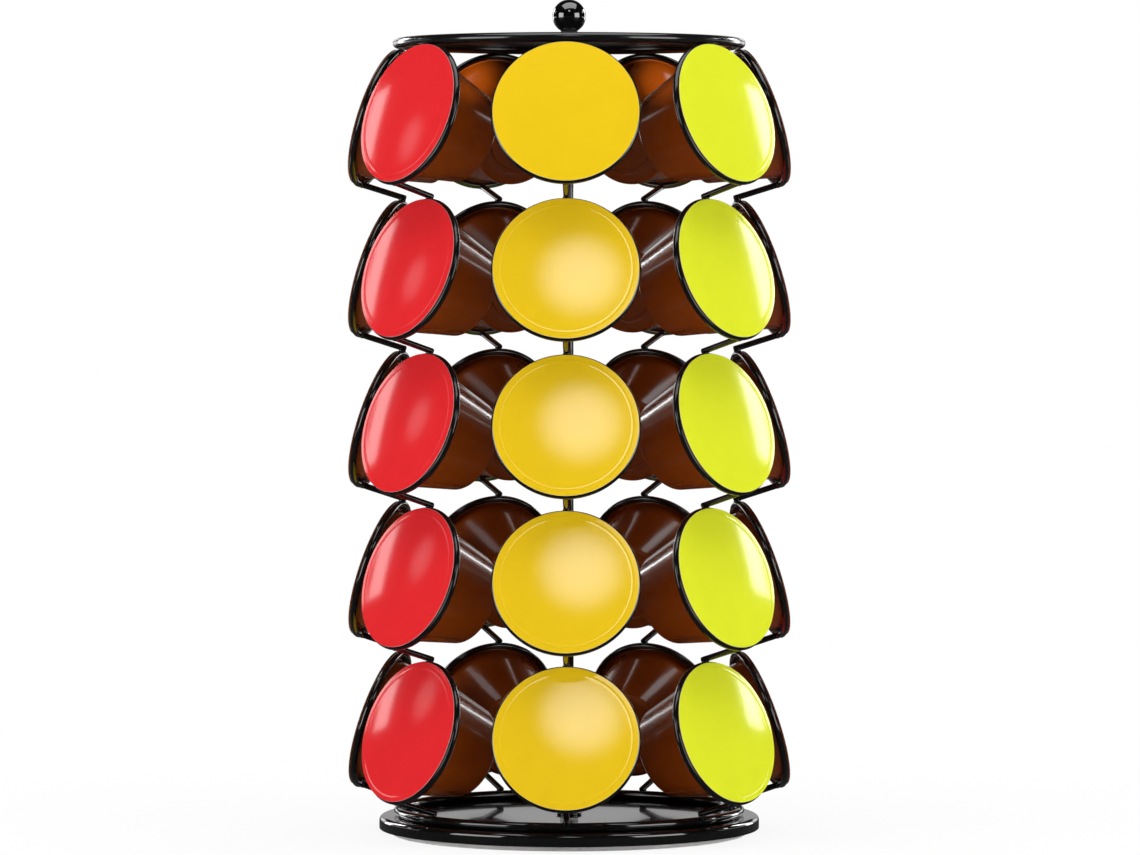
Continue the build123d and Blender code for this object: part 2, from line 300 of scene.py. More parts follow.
def black_moulding(name, tone, roughness, coat_index, wipe_depth):
    """Polished black moulding with hairlines from wiping round and round."""
    paint = new_paint(name)
    cloud = paint.noise(14 * mm, detail=2.0)
    far = paint.length(paint.place())
    rounds = paint.node("ShaderNodeCombineXYZ", inputs={0: far, 1: far * 0.03, 2: 0.0})
    hairs = paint.noise(0.25 * mm, detail=1.0, place=rounds)
    colour = paint.blend(cloud, (tone, tone, tone, 1.0), (tone * 1.8, tone * 1.8, tone * 1.9, 1.0))
    return paint.surface(
        Base_Color=colour,
        Roughness=cloud * 0.05 + hairs * 0.03 + roughness,
        Coat_Weight=0.6,
        Coat_Roughness=0.03,
        Coat_IOR=coat_index,
        Normal=paint.bump(hairs, wipe_depth),
    )


wire_black = black_lacquer("wire_black", tone=0.003, roughness=0.14, coat_roughness=0.035,
                           peel_grain=1.2 * mm, peel_depth=0.0012 * mm)
plate_black = black_lacquer("plate_black", tone=0.003, roughness=0.24, coat_roughness=0.13,
                            peel_grain=1.6 * mm, peel_depth=0.0015 * mm, satin=satin_top)
nut_black = black_lacquer("nut_black", tone=0.005, roughness=0.18, coat_roughness=0.06,
                          peel_grain=0.5 * mm, peel_depth=0.002 * mm)
knob_black = black_moulding("knob_black", tone=0.002, roughness=0.05, coat_index=2.0,
                            wipe_depth=0.0004 * mm)
disc_black = black_moulding("disc_black", tone=0.003, roughness=0.05, coat_index=1.5,
                            wipe_depth=0.0006 * mm)
print("black finishes", [m.name for m in (wire_black, plate_black, nut_black, knob_black, disc_black)])

# %% [markdown]
# The capsule's cup is thermoformed brown plastic. Forming stretches the sheet, which leaves faint
# lines that run down the wall, and a colour that is a little lighter where the sheet is thin. The
# noise for the lines is squeezed along the capsule's axis, so it draws out into streaks.
# An image of a cup would do too, but it would not follow the shape from every side.

# %% Cup finish


def cup_plastic(name):
    """Brown thermoformed plastic with faint draw lines."""
    paint = new_paint(name)
    share_along_axis = 0.06
    drawn = paint.squash(paint.place(), (1.0, 1.0, share_along_axis))
    lines = paint.noise(1.1 * mm, detail=2.0, place=drawn)
    cloud = paint.noise(12 * mm, detail=2.0)
    deep = (0.185, 0.032, 0.0020, 1.0)
    pale = (0.285, 0.054, 0.0030, 1.0)
    return paint.surface(
        Base_Color=paint.blend(cloud * 0.6 + lines * 0.4, deep, pale),
        Roughness=lines * 0.06 + 0.19,
        Coat_Weight=0.35,
        Coat_Roughness=0.09,
        Normal=paint.bump(lines, 0.0015 * mm),
    )


cup_brown = cup_plastic("cup_brown")

# %% [markdown]
# The lid is foil under coloured lacquer. Up close the foil is never quite even: the colour clouds a
# little, and the surface has a soft, shallow ripple from the sealing. The cut edge is bare metal,
# which shows as a thin pale line round each lid. One function makes all three colours, and also the
# matt yellow of the top tier, whose lid shows no lamp in the photograph.

# %% Lid finishes
lid_radius = 27.0 * mm
bare_edge = 0.06 * mm


def lid_foil(name, colour, roughness=0.06, coat=0.25, shine=0.5):
    """Lacquered foil of one colour, with a bare cut edge."""
    paint = new_paint(name)
    edge = paint.reach().over(lid_radius - bare_edge)
    cloud = paint.noise(11 * mm, detail=3.0)
    ripple = paint.noise(2.6 * mm, detail=1.0)
    deep = tuple(0.93 * part for part in colour) + (1.0,)
    lacquer = paint.blend(cloud, deep, colour + (1.0,))
    return paint.surface(
        Base_Color=paint.blend(edge, lacquer, (0.40, 0.40, 0.42, 1.0)),
        Roughness=cloud * 0.03 + roughness,
        Specular_IOR_Level=shine,
        Coat_Weight=coat,
        Coat_Roughness=0.1,
        Normal=paint.bump(ripple, 0.003 * mm),
    )


lid_finishes = {
    "capsule_yellow": lid_foil("lid_yellow", (0.785, 0.522, 0.011)),
    "capsule_lime": lid_foil("lid_lime", (0.74, 0.805, 0.026)),
    "capsule_red": lid_foil("lid_red", (0.775, 0.024, 0.029)),
}
matt_yellow = lid_foil("lid_matt_yellow", (0.78, 0.525, 0.006), roughness=0.42, coat=0.0, shine=0.1)
print("lid finishes", sorted(lid_finishes), "and", matt_yellow.name)

# %% [markdown]
# The turntable's inner parts show only through the gap under the disc, but they are real pieces:
# steel races and balls, a nylon cage and bush, a pale plastic foot and its foam pad. Turned steel
# gets its look from fine rings in its colour and roughness. Anisotropic gloss would be nearer to the
# real thing, but these pieces are hidden so far that rings are enough. Nylon, plastic and foam share
# one function, each with a grain of its own.

# %% Base finishes


def turned_steel(name):
    """Steel with turning marks round the spindle's axis."""
    paint = new_paint(name)
    rings = paint.node("ShaderNodeCombineXYZ", inputs={0: paint.length(paint.place()), 1: 0.0, 2: 0.0})
    marks = paint.noise(0.12 * mm, detail=1.0, place=rings)
    return paint.surface(
        Base_Color=paint.blend(marks, (0.50, 0.50, 0.52, 1.0), (0.66, 0.66, 0.68, 1.0)),
        Metallic=1.0,
        Roughness=marks * 0.2 + 0.2,
        Normal=paint.bump(marks, 0.002 * mm),
    )


def pale_moulding(name, colour, roughness, grain, depth):
    """Pale plastic, nylon or foam with a fine grain."""
    paint = new_paint(name)
    speck = paint.noise(grain, detail=3.0)
    deep = tuple(0.88 * part for part in colour) + (1.0,)
    return paint.surface(
        Base_Color=paint.blend(speck, deep, colour + (1.0,)),
        Roughness=speck * 0.15 + roughness,
        Normal=paint.bump(speck, depth),
    )


steel = turned_steel("turned_steel")
nylon = pale_moulding("nylon", (0.80, 0.78, 0.70), roughness=0.35, grain=0.8 * mm, depth=0.01 * mm)
foot_plastic = pale_moulding("foot_plastic", (0.92, 0.91, 0.89), roughness=0.3,
                             grain=0.5 * mm, depth=0.01 * mm)
pad_foam = pale_moulding("pad_foam", (0.84, 0.83, 0.82), roughness=0.8,
                         grain=0.35 * mm, depth=0.08 * mm)

cad_finishes = {
    "pivot_bush": nylon, "ball_cage": nylon, "lower_race": steel, "upper_race": steel,
    "bearing_balls": steel, "retaining_washer": steel, "retaining_clip": steel, "lock_nut": steel,
    "top_washer": steel,
}
for node, finish in cad_finishes.items():
    for held in frame["nodes"][node].material_slots:
        held.material = finish
print("CAD nodes that keep their shape", sorted(cad_finishes))

# %% [markdown]
# The seven columns are alike, and so are their five tiers. Each ring leans back, so that a capsule
# rests in it by its own weight. We read the ring centres off the boxes of the CAD capsules: the
# topmost point of a lid's edge gives the tier's level, and its outermost point gives the circle
# that the rings stand on. Everything about a column then follows from one matrix per ring.

# %% Where the rings stand
tilt = radians(17.9)
lid_top = 2.0 * mm
rim_fall = 0.1 * mm
column_count = sum(name.startswith("column_") for name in frame["nodes"])
tier_count = sum(name.startswith("capsule_column_1_") for name in frame["nodes"])


def capsule_node(column, tier):
    """The name of the CAD node of one capsule."""
    return f"capsule_column_{column}_tier_{tier}"


def ring_level(tier):
    """Height of the ring centres of a tier. Tier 1 is the top one."""
    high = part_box(capsule_node(1, tier))[1]
    return high.z - (lid_top - rim_fall) * sin(tilt) - lid_radius * cos(tilt)


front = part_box(capsule_node(1, 1))[0]
holder_circle = -front.y - (lid_top - rim_fall) * cos(tilt) - lid_radius * sin(tilt)
tier_pitch = ring_level(1) - ring_level(2)


def column_turn(column):
    """The turn about the spindle from column 1 to a column."""
    return Matrix.Rotation(tau * (column - 1) / column_count, 4, "Z")


def ring_place(tier):
    """The frame of a ring of column 1, with its Z axis out along the capsule."""
    lean = Matrix.Rotation(pi / 2 - tilt, 4, "X")
    return Matrix.Translation((0, -holder_circle, ring_level(tier))) @ lean


print("rings stand on a circle of", round(holder_circle / mm, 2), "mm, pitch", round(tier_pitch / mm, 2))

# %% [markdown]
# A column is five rings and five short links, welded. A link lies on top of one ring and runs up and
# out to the bottom of the next. Its lower end is cropped and slightly rounded, and its upper end
# butts against the ring. Each joint has a small weld bead, a flattened drop of metal under the
# lacquer. We could union the wires with a Boolean, but the crossings are hidden inside the beads,
# and plain overlapping wires keep the meshes light and their highlights clean.

# %% Wire columns
ring_wire = 2.44 * mm
ring_radius = 26.52 * mm
link_wire = 2.3 * mm
base_ring_wire = 3.43 * mm
rim_wire = 3.85 * mm
weld_sink = 0.17 * mm
link_overhang = 1.2 * mm
link_setback = 0.55 * mm
link_rounding = 0.35 * mm
wire_sides = 20
rest_bead = (1.5 * mm, 1.45 * mm, 0.8 * mm)
rest_bead_drop = 0.42 * link_wire
butt_bead = (1.0 * mm, 1.5 * mm, 1.35 * mm)
butt_bead_back = 0.3 * mm
bead_arc_steps, bead_sides = 10, 16

across = Vector((0, sin(tilt), cos(tilt)))
link_rest = across * (ring_radius + (ring_wire + link_wire) / 2 - weld_sink)
ring_bottom = across * -ring_radius
link_direction = (Vector((0, 0, tier_pitch)) + ring_bottom - link_rest).normalized()
link_lift = Vector((0, link_direction.z, -link_direction.y))

base_low, base_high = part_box("base_ring")
base_ring_level = (base_low.z + base_high.z) / 2
base_ring_radius = base_high.x - base_ring_wire / 2
rim_level = plate_high.z - rim_wire / 2
rim_radius = plate_high.x - rim_wire / 2


def wire_circle(radius, level, wire, sides=wire_sides):
    """The outline that turns into a ring of wire."""
    return arc((radius, level), wire / 2, 0, tau, sides)[:-1]


def add_link(mesh, low, high, turn):
    """One straight link with a rounded lower end."""
    run = high - low
    half_wire = link_wire / 2
    outline = soften([(0, 0), (half_wire, 0, link_rounding), (half_wire, run.length), (0, run.length)])
    aim = Matrix.Translation(low) @ run.to_track_quat("Z", "Y").to_matrix().to_4x4()
    add_turned(mesh, outline, turn @ aim, segments=wire_sides)


def add_bead(mesh, spot, along, half_sizes, turn):
    """A flattened weld bead: an ellipsoid with its length along the joint."""
    outline = arc((0, 0), 1, -pi / 2, pi / 2, bead_arc_steps)
    outline = [(0, -1)] + outline[1:-1] + [(0, 1)]
    aim = Matrix.Translation(spot) @ along.to_track_quat("X", "Z").to_matrix().to_4x4()
    add_turned(mesh, outline, turn @ aim @ Matrix.Diagonal((*half_sizes, 1)), segments=bead_sides)


def add_column(mesh, turn):
    """Five rings, five links and their welds."""
    for tier in range(1, tier_count + 1):
        place = turn @ ring_place(tier)
        add_turned(mesh, wire_circle(ring_radius, 0, ring_wire), place)
    for tier in range(1, tier_count + 1):
        centre = Vector((0, -holder_circle, ring_level(tier)))
        high = centre + ring_bottom - link_direction * link_setback
        if tier == tier_count:
            reach = (base_ring_wire + link_wire) / 2 - weld_sink
            rest = Vector((0, -base_ring_radius, base_ring_level)) + link_lift * reach
        else:
            rest = Vector((0, -holder_circle, ring_level(tier + 1))) + link_rest
        add_link(mesh, rest - link_direction * link_overhang, high, turn)
        add_bead(mesh, rest - link_lift * rest_bead_drop, link_direction, rest_bead, turn)
        add_bead(mesh, high - link_direction * butt_bead_back, link_direction, butt_bead, turn)


for column in range(1, column_count + 1):
    mesh = bmesh.new()
    add_column(mesh, column_turn(column))
    data = finish_mesh(f"wire_column_{column}", mesh, wire_black)
    set_piece(f"wire_column_{column}", data, "carousel", f"column_{column}")
print("wire columns", column_count, "with", tier_count, "rings each")

# %% [markdown]
# The base ring is a thicker wire that lies on the disc. The top plate is a sheet disc whose edge is
# curled over a wire, which gives the fat round rim. Both are turned. A torus would do for the ring,
# but the plate needs its own outline, which runs along the underside, round the curl and back over
# the top, with a small fillet where the curl closes.

# %% Base ring and top plate
base_ring_sides = 28
base_ring_outline = wire_circle(base_ring_radius, base_ring_level, base_ring_wire, base_ring_sides)
turned_piece("base_ring_wire", base_ring_outline, wire_black, "carousel", "base_ring", 240)

sheet = 1.2 * mm
post_radius = 1.7 * mm
bolt_hole = post_radius + 0.15 * mm
curl = rim_wire / 2
curl_start = pi - asin((curl - sheet) / curl)
curl_close = radians(16)
curl_gap = curl * cos(curl_start)
curl_end = pi * 2.5
curl_steps = 44
curl_fillet, hole_rounding = 0.35 * mm, 0.2 * mm
underside = plate_high.z - sheet
plate_outline = soften([
    (bolt_hole, underside, hole_rounding),
    (rim_radius + curl_gap, underside, curl_fillet),
    *arc((rim_radius, rim_level), curl, curl_start + curl_close, curl_end, curl_steps),
    (bolt_hole, plate_high.z, hole_rounding),
])
turned_piece("curled_top_plate", plate_outline, plate_black, "carousel", "top_plate", 240)
print("base ring", round(2 * base_ring_radius / mm, 1), "mm, rim", round(2 * rim_radius / mm, 1), "mm")

# %% [markdown]
# The turntable is a moulded disc with a rounded top edge and a short skirt. Under it, ribs stiffen
# the disc and two lips hold the upper race. They are out of sight unless the disc is lifted, but a
# piece is made whole. The ribs are plain boxes, because their ends run into the lips and the skirt.

# %% Turntable
disc_low, disc_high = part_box("base_disc")
disc_radius = disc_high.x
disc_thickness, skirt_thickness = 1.8 * mm, 2.2 * mm
disc_ceiling = disc_high.z - disc_thickness
skirt_radius = disc_radius - skirt_thickness
top_rounding, ceiling_fillet = 1.75 * mm, 0.8 * mm
skirt_outer_rounding, skirt_inner_rounding = 0.4 * mm, 0.3 * mm
bore_rounding = 0.3 * mm
race_lips = ((36.0 * mm, 34.6 * mm), (47.4 * mm, 46.1 * mm))
lip_level = disc_ceiling - 0.7 * mm
lip_rounding = 0.1 * mm
rib_count, rib_width = 14, 1.2 * mm
rib_foot = 3.9 * mm
rib_spans = ((9 * mm, 35 * mm), (47 * mm, skirt_radius))


def add_rib(mesh, start, end, turn):
    """A thin radial rib under the disc."""
    place = turn @ Matrix.Translation(((start + end) / 2, 0, (rib_foot + disc_ceiling) / 2))
    size = Matrix.Diagonal((end - start, rib_width, disc_ceiling - rib_foot, 1))
    bmesh.ops.create_cube(mesh, size=1, matrix=place @ size)


disc_mesh = bmesh.new()
add_turned(disc_mesh, soften([
    (bolt_hole, disc_ceiling),
    (skirt_radius, disc_ceiling, ceiling_fillet),
    (skirt_radius, disc_low.z, skirt_inner_rounding),
    (disc_radius, disc_low.z, skirt_outer_rounding),
    (disc_radius, disc_high.z, top_rounding),
    (bolt_hole, disc_high.z, bore_rounding),
]), segments=240)
for outer, inner in race_lips:
    add_turned(disc_mesh, soften([
        (inner, disc_ceiling), (inner, lip_level, lip_rounding),
        (outer, lip_level, lip_rounding), (outer, disc_ceiling),
    ]), segments=120)
for rib in range(rib_count):
    turn = Matrix.Rotation(tau * rib / rib_count, 4, "Z")
    for start, end in rib_spans:
        add_rib(disc_mesh, start, end, turn)
set_piece("turntable_disc", finish_mesh("turntable_disc", disc_mesh, disc_black),
          "carousel", "base_disc")
print("disc", round(2 * disc_radius / mm, 1), "mm across, with", rib_count, "ribs in two rows below")

# %% [markdown]
# The foot is a pale moulded plate with a boss for the pivot, and its pad is a disc of foam glued
# below. Only their edges show, as a pale line under the turntable. Two cylinders with a Boolean cut
# would do, but one outline holds the pocket, the boss and every rounding in a list that can be read.

# %% Foot plate and pad
foot_low, foot_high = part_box("foot_plate")
pad_low, pad_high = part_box("non_slip_pad")
foot_top = pad_high.z + 1.0 * mm
boss_radius, pocket_radius, sleeve_radius = 8.5 * mm, 6.0 * mm, 2.9 * mm
pocket_roof = foot_low.z + 1.7 * mm
foot_lower_rounding, foot_upper_rounding = 0.15 * mm, 0.3 * mm
boss_rounding, pad_rounding = 0.2 * mm, 0.2 * mm
turned_piece("foot_disc", soften([
    (pocket_radius, foot_low.z),
    (foot_high.x, foot_low.z, foot_lower_rounding),
    (foot_high.x, foot_top, foot_upper_rounding),
    (boss_radius, foot_top, foot_upper_rounding),
    (boss_radius, foot_high.z, boss_rounding),
    (sleeve_radius, foot_high.z),
    (sleeve_radius, pocket_roof),
    (pocket_radius, pocket_roof),
]), foot_plastic, "base", "foot_plate", 240)
turned_piece("foam_pad", soften([
    (0, pad_low.z),
    (pad_high.x, pad_low.z, pad_rounding),
    (pad_high.x, pad_high.z, pad_rounding),
    (0, pad_high.z),
]), pad_foam, "base", "non_slip_pad", 240)
print("foot", round(2 * foot_high.x / mm, 1), "mm, pad", round(2 * pad_high.x / mm, 1), "mm across")

# %% [markdown]
# One rod ties everything together. Its top screws into the knob, its foot passes a flanged nut, the
# disc and a lock nut, and turns in the foot plate. The thread shows for a few millimetres above the
# nut. A true helix would look the same at this size, so the rod's outline just zigzags there. The nut
# is the same turning trick with six segments and flat faces, on a round flange.

# %% Spindle and nut
post_low, post_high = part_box("centre_post")
nut_low, nut_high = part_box("foot_nut")
thread_pitch, thread_depth, thread_turns = 0.5 * mm, 0.18 * mm, 9
foot_chamfer_width, foot_chamfer_height = 0.2 * mm, 0.15 * mm
head_chamfer = 0.3 * mm
thread = []
for turn in range(thread_turns):
    level = nut_high.z + turn * thread_pitch
    thread += [(post_radius, level), (post_radius - thread_depth, level + thread_pitch / 2)]
turned_piece("spindle_rod", [
    (0, post_low.z), (post_radius - foot_chamfer_width, post_low.z),
    (post_radius, post_low.z + foot_chamfer_height),
    *thread, (post_radius, nut_high.z + thread_turns * thread_pitch),
    (post_radius, post_high.z - head_chamfer), (post_radius - head_chamfer, post_high.z),
    (0, post_high.z),
], wire_black, "carousel", "centre_post", 40)

nut_bore = post_radius + 0.05 * mm
nut_half_width = 3.5 * mm
nut_corner = nut_half_width / cos(pi / 6)
nut_chamfer_width, nut_chamfer_height = 0.45 * mm, 0.3 * mm
flange_level = nut_low.z + 0.9 * mm
flange_lower_rounding, flange_upper_rounding = 0.15 * mm, 0.4 * mm
nut_mesh = bmesh.new()
add_turned(nut_mesh, [
    (nut_bore, nut_low.z), (nut_corner, nut_low.z), (nut_corner, nut_high.z - nut_chamfer_height),
    (nut_corner - nut_chamfer_width, nut_high.z), (nut_bore, nut_high.z),
], Matrix.Rotation(pi / 6, 4, "Z"), segments=6, smooth=False)
add_turned(nut_mesh, soften([
    (nut_bore, nut_low.z), (nut_high.x, nut_low.z, flange_lower_rounding),
    (nut_high.x, flange_level, flange_upper_rounding), (nut_bore, flange_level),
]), segments=64)
set_piece("flanged_nut", finish_mesh("flanged_nut", nut_mesh, nut_black),
          "carousel", "foot_nut")
print("spindle", round((post_high.z - post_low.z) / mm, 1), "mm long, its nut on the disc")

# %% [markdown]
# The knob is a polished ball on a short neck, with a blind bore that takes the spindle's thread. Its
# outline is one arc from the neck to the crown. A UV sphere would do for the ball, but the neck and
# the bore would have to be cut into its underside.

# %% Knob
knob_low, knob_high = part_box("knob")
knob_radius = knob_high.x
knob_middle = knob_high.z - knob_radius
neck_radius, neck_rounding = 3.2 * mm, 0.25 * mm
neck_angle = -acos(neck_radius / knob_radius)
bore_top = knob_low.z + 6.5 * mm
ball_steps = 48
turned_piece("ball_knob", soften([
    (nut_bore, bore_top), (nut_bore, knob_low.z), (neck_radius, knob_low.z, neck_rounding),
    *arc((0, knob_middle), knob_radius, neck_angle, pi / 2, ball_steps)[:-1],
    (0, knob_high.z), (0, bore_top),
]), knob_black, "carousel", "knob", 96)
print("knob", round(2 * knob_radius / mm, 1), "mm across, its top at", round(knob_high.z / mm, 1), "mm")

# %% [markdown]
# The camera stands two metres away with a long lens, a little above the middle of the object and
# one degree to its right. These numbers come from fitting the fifteen front lids: the eye level is
# where the horizon lies in the picture, and the camera tips down so that the knob and foot both fit.
# Two small lamps at the end are placed from the same eye.

# %% Camera
picture_width = 1140
picture_height = 855
axis_x = 569.17
horizon_y = 249.4
focal = 5610.7
sensor = 36.0
eye_height = 0.2228
eye_distance = 2.1385
eye_azimuth = radians(0.9)

camera_data = bpy.data.cameras.new("camera")
camera_data.sensor_width = sensor
camera_data.lens = focal * sensor / picture_width
camera = bpy.data.objects.new("camera", camera_data)
bpy.context.scene.collection.objects.link(camera)
eye = Vector((eye_distance * sin(eye_azimuth), -eye_distance * cos(eye_azimuth), eye_height))
camera.location = eye
tip = atan((picture_height / 2 - horizon_y) / focal)
swing = atan((picture_width / 2 - axis_x) / focal)
camera.rotation_euler = (pi / 2 - tip, 0, eye_azimuth - swing)
bpy.context.scene.camera = camera
bpy.context.scene.view_settings.view_transform = "Standard"
print("lens", round(camera_data.lens, 1), "mm, tipped down", round(tip * 180 / pi, 2), "degrees")

# %% [markdown]
# A capsule is a tapered cup with a flange, closed by a foil lid. Everything is drawn in the ring's
# own frame, with the lid facing +Z, so that one mesh serves all 35 cups. The cup's foot has a shallow
# ring groove and a moulding dimple. An outline in numbers suits it better than a scaled cylinder,
# because the wall, the flange and the groove keep their real thickness.

# %% Cup
flange_bottom = 1.37 * mm
flange_top = 1.72 * mm
foot_level = flange_top - 30.0 * mm
mouth_radius, foot_radius, flange_radius = 24.3 * mm, 17.3 * mm, 26.75 * mm
wall = 0.8 * mm
floor_level = foot_level + 2 * wall
groove_in, groove_out, groove_level = 11.1 * mm, 12.9 * mm, foot_level + 0.5 * mm
groove_rounding, groove_lip_rounding = 0.15 * mm, 0.2 * mm
dimple_radius, dimple_slope, dimple_level = 1.8 * mm, 0.3 * mm, foot_level + 0.35 * mm
dimple_rounding, dimple_lip_rounding = 0.1 * mm, 0.15 * mm
heel_rounding, inner_heel_rounding = 2.4 * mm, 1.6 * mm
mouth_fillet, flange_rounding = 0.3 * mm, 0.12 * mm

cup_mesh = bmesh.new()
add_turned(cup_mesh, soften([
    (0, dimple_level),
    (dimple_radius, dimple_level, dimple_rounding),
    (dimple_radius + dimple_slope, foot_level, dimple_lip_rounding),
    (groove_in, foot_level, groove_lip_rounding),
    (groove_in, groove_level, groove_rounding),
    (groove_out, groove_level, groove_rounding),
    (groove_out, foot_level, groove_lip_rounding),
    (foot_radius, foot_level, heel_rounding),
    (mouth_radius, flange_bottom, mouth_fillet),
    (flange_radius, flange_bottom, flange_rounding),
    (flange_radius, flange_top, flange_rounding),
    (mouth_radius - wall, flange_top, mouth_fillet),
    (foot_radius - wall, floor_level, inner_heel_rounding),
    (0, floor_level),
]), segments=96)
cup_data = finish_mesh("capsule_cup", cup_mesh, cup_brown)
print("cup", round((flange_top - foot_level) / mm, 1), "mm deep,", len(cup_data.polygons), "faces")

# %% [markdown]
# The lid is a thin sheet with a flat sealed rim, a low pressed bead and a slight dome. The dome bends
# the reflections of the lamps, so its height sets how large they look. The bead rides on the dome's
# falling edge and is very low, because a higher one draws a bright ring all round. We calculate the
# dome instead of sculpting it, so that the two sides of the sheet stay parallel.

# %% Lid
lid_bottom = 1.75 * mm
edge_rounding, crest_rounding = 0.05 * mm, 0.08 * mm
bead_outer, bead_inner, bead_rise = 25.5 * mm, 23.9 * mm, 0.03 * mm
bead_steps, dome_steps = 10, 20
dome_rise = 1.1 * mm


def dome(reach):
    """How far the sheet stands above its sealed edge at a distance from the middle."""
    return dome_rise * (1 - (reach / bead_outer) ** 2)


sheet_reaches = [bead_inner * step / dome_steps for step in range(dome_steps + 1)]
lid_outline = [(reach, lid_bottom + dome(reach)) for reach in sheet_reaches] + soften([
    (bead_outer, lid_bottom), (lid_radius, lid_bottom, edge_rounding),
    (lid_radius, lid_top - rim_fall, crest_rounding), (bead_outer, lid_top),
])[:-1]
for step in range(bead_steps):
    share = step / bead_steps
    reach = bead_outer + (bead_inner - bead_outer) * share
    swell = bead_rise * (1 - cos(tau * share)) / 2
    lid_outline.append((reach, lid_top + dome(reach) + swell))
lid_outline += [(reach, lid_top + dome(reach)) for reach in reversed(sheet_reaches)]

lid_data = {}
for slot, finish in (*lid_finishes.items(), ("matt_top", matt_yellow)):
    lid_mesh = bmesh.new()
    add_turned(lid_mesh, lid_outline, segments=128)
    lid_data[slot] = finish_mesh(f"lid_{slot}", lid_mesh, finish)
print("lid finishes on meshes", sorted(lid_data))

# %% [markdown]
# Now 35 capsules take their places. Every cup shares one mesh and every lid of a colour shares
# another, which keeps the scene light. Geometry Nodes could scatter them as instances, but each has
# to be an object that rides on a body of its own. The record says which colour a node has. The cups
# also go into a collection of their own, which two lamps will need.

# %% Capsules in their rings
lid_slots = {part["node"]: part["material_slot"] for part in frame["record"]["subparts"]}
cups = bpy.data.collections.new("cups")
for column in range(1, column_count + 1):
    for tier in range(1, tier_count + 1):
        node = capsule_node(column, tier)
        place = column_turn(column) @ ring_place(tier)
        slot = lid_slots[node]
        cup_name = f"cup_column_{column}_tier_{tier}"
        cups.objects.link(set_piece(cup_name, cup_data, node, node, place))
        look = "matt_top" if (slot, tier) == ("capsule_yellow", 1) else slot
        set_piece(f"lid_column_{column}_tier_{tier}", lid_data[look], node, node, place)
print("capsules", column_count * tier_count)

# %% [markdown]
# The studio is plain. The floor is pale and the camera sees it as white, with a faint shadow kept.
# Gloss must not see that much white, or the black lacquer would turn grey. A photographer hangs dark
# cloth round gloss black for this. Here Light Path does it: the floor glows for the camera, is dark
# for gloss, and is plain matt for the light that bounces. Near the object the glow gives way a little
# to the matt paper, and that share carries the shadow.

# %% Floor


def ray_kinds(paint):
    """One for a ray that is seen, straight or through glass, and one for a ray that is gloss."""
    straight = paint.node("ShaderNodeLightPath", output="Is Camera Ray")
    through = paint.node("ShaderNodeLightPath", output="Is Transmission Ray")
    return straight + through, paint.node("ShaderNodeLightPath", output="Is Glossy Ray")


floor_size = 12.0
floor_paint = new_paint("floor_white")
seen, gloss = ray_kinds(floor_paint)
paper_grain = 0.4
paper = floor_paint.noise(paper_grain, detail=2.0)
paper_colour = floor_paint.blend(paper, (0.89, 0.89, 0.89, 1.0), (0.91, 0.91, 0.91, 1.0))
matt = floor_paint.node("ShaderNodeBsdfDiffuse", inputs={"Color": paper_colour})
white = floor_paint.node("ShaderNodeEmission", inputs={"Color": (1.0, 1.0, 1.0, 1.0), "Strength": 1.0})
dim = floor_paint.node("ShaderNodeEmission", inputs={"Color": (0.05, 0.05, 0.05, 1.0), "Strength": 1.0})
glow_near, fade_start, fade_end = 0.90, 0.12, 0.5
glow_gain = floor_paint.length(floor_paint.place()).fade(fade_start, fade_end) * (1 - glow_near)
glow = glow_near + glow_gain
lit = floor_paint.node("ShaderNodeMixShader", inputs={0: seen * glow, 1: matt, 2: white})
both = floor_paint.node("ShaderNodeMixShader", inputs={0: gloss, 1: lit, 2: dim})
floor_paint.node("ShaderNodeOutputMaterial", inputs={"Surface": both})

floor_mesh = bmesh.new()
bmesh.ops.create_grid(floor_mesh, x_segments=4, y_segments=4, size=floor_size)
floor = bpy.data.objects.new("floor", finish_mesh("floor", floor_mesh, floor_paint.owner))
bpy.context.scene.collection.objects.link(floor)
print("floor reaches", max(corner.co.x for corner in floor.data.vertices), "m to each side")

# %% [markdown]
# The world is white for the camera and gives everything matt an even light. For gloss it is a dark
# room with three painted lights: the white wall far behind the object, which the turntable mirrors at
# a flat angle, a round silk high in front, which leaves the soft glow on the yellow lids, and a small
# silk to the left, which leaves the faint spot on the red ones. A lamp would give such a glow a hard
# outline, and a painted light can fade out.

# %% World


def toward(azimuth, elevation):
    """A direction from the object. Azimuth 0 is in front of it, and 90 is to its right."""
    a, e = radians(azimuth), radians(elevation)
    return Vector((sin(a) * cos(e), -cos(a) * cos(e), sin(e)))


world = bpy.data.worlds.new("studio")
bpy.context.scene.world = world
sky = Paint(world)
direction = sky.node("ShaderNodeTexCoord", output="Generated")


def painted_light(azimuth, elevation, core, reach, brightness):
    """A round light on the dome, full up to the core angle and faded out at its reach."""
    aim = {0: direction, 1: toward(azimuth, elevation)}
    nearness = sky.node("ShaderNodeVectorMath", {"operation": "DOT_PRODUCT"}, aim, "Value")
    return nearness.fade(cos(radians(reach)), cos(radians(core))) * brightness


even_light, dark_room = 0.265, 0.006
back_wall = painted_light(azimuth=180, elevation=5, core=14, reach=36, brightness=0.42)
high_silk = painted_light(azimuth=1.6, elevation=34.3, core=0.5, reach=7.5, brightness=4.6)
side_silk = painted_light(azimuth=-107, elevation=19.7, core=0.3, reach=2.8, brightness=0.9)
room = back_wall + high_silk + side_silk + dark_room
seen, gloss = ray_kinds(sky)
strength = seen + gloss * room + (1 - seen - gloss) * even_light
light = sky.node("ShaderNodeBackground", inputs={"Color": (1.0, 1.0, 1.0, 1.0), "Strength": strength})
sky.node("ShaderNodeOutputWorld", inputs={"Surface": light})
print("world with", len(sky.tree.nodes), "nodes")

